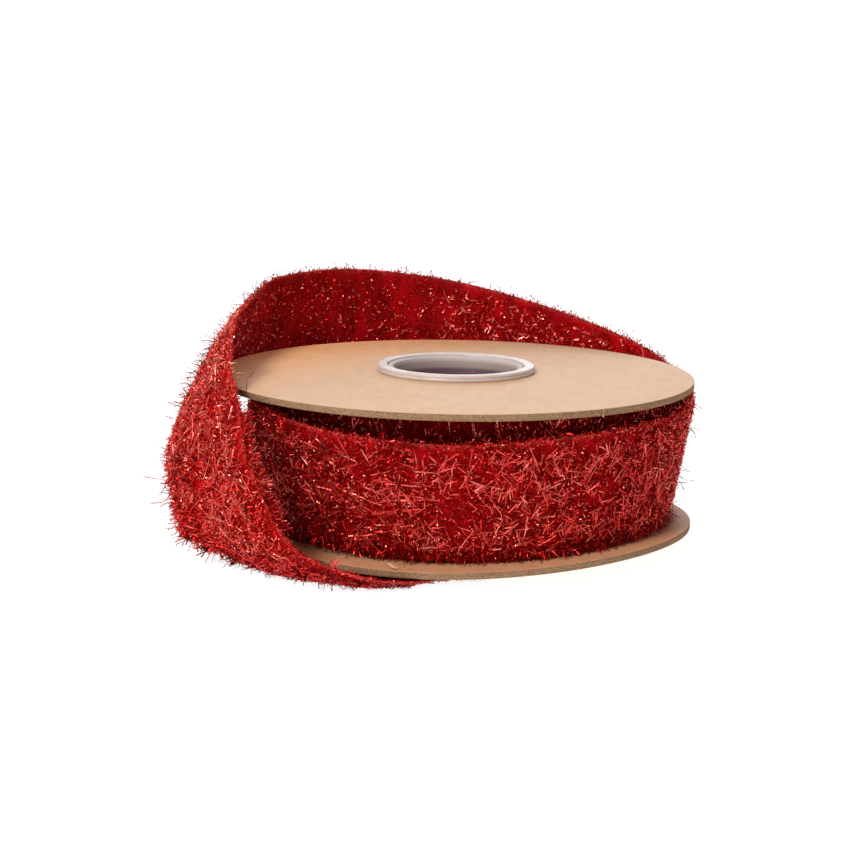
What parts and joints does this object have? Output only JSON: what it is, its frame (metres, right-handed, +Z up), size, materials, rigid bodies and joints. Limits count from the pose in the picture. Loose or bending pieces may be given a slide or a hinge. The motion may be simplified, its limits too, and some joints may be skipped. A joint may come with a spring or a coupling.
{
  "type": "ribbon roll",
  "caption": "Roll of red tinsel ribbon on a hollow hub between round card flanges; its slipped last turn loops loosely behind the roll and is tucked beneath the lower flange.",
  "frame": {"origin": "under the middle of the whole object's box, on the surface that the roll lies on", "axes": "+Z up along the spool's axis; -Y towards the side where the tucked end shows; +X to the right seen from there"},
  "size_m": [0.1412, 0.1454, 0.0643],
  "materials": {
    "card": "matt kraft-faced chipboard",
    "plastic": "pale translucent plastic",
    "tinsel": "glittering metallic red pile"
  },
  "bodies": {
    "root": {"flange_lower": "card", "flange_upper": "card", "hub_lower": "plastic", "hub_upper": "plastic", "wound_ribbon": "tinsel", "loose_ribbon": "tinsel"}
  },
  "joints": []
}
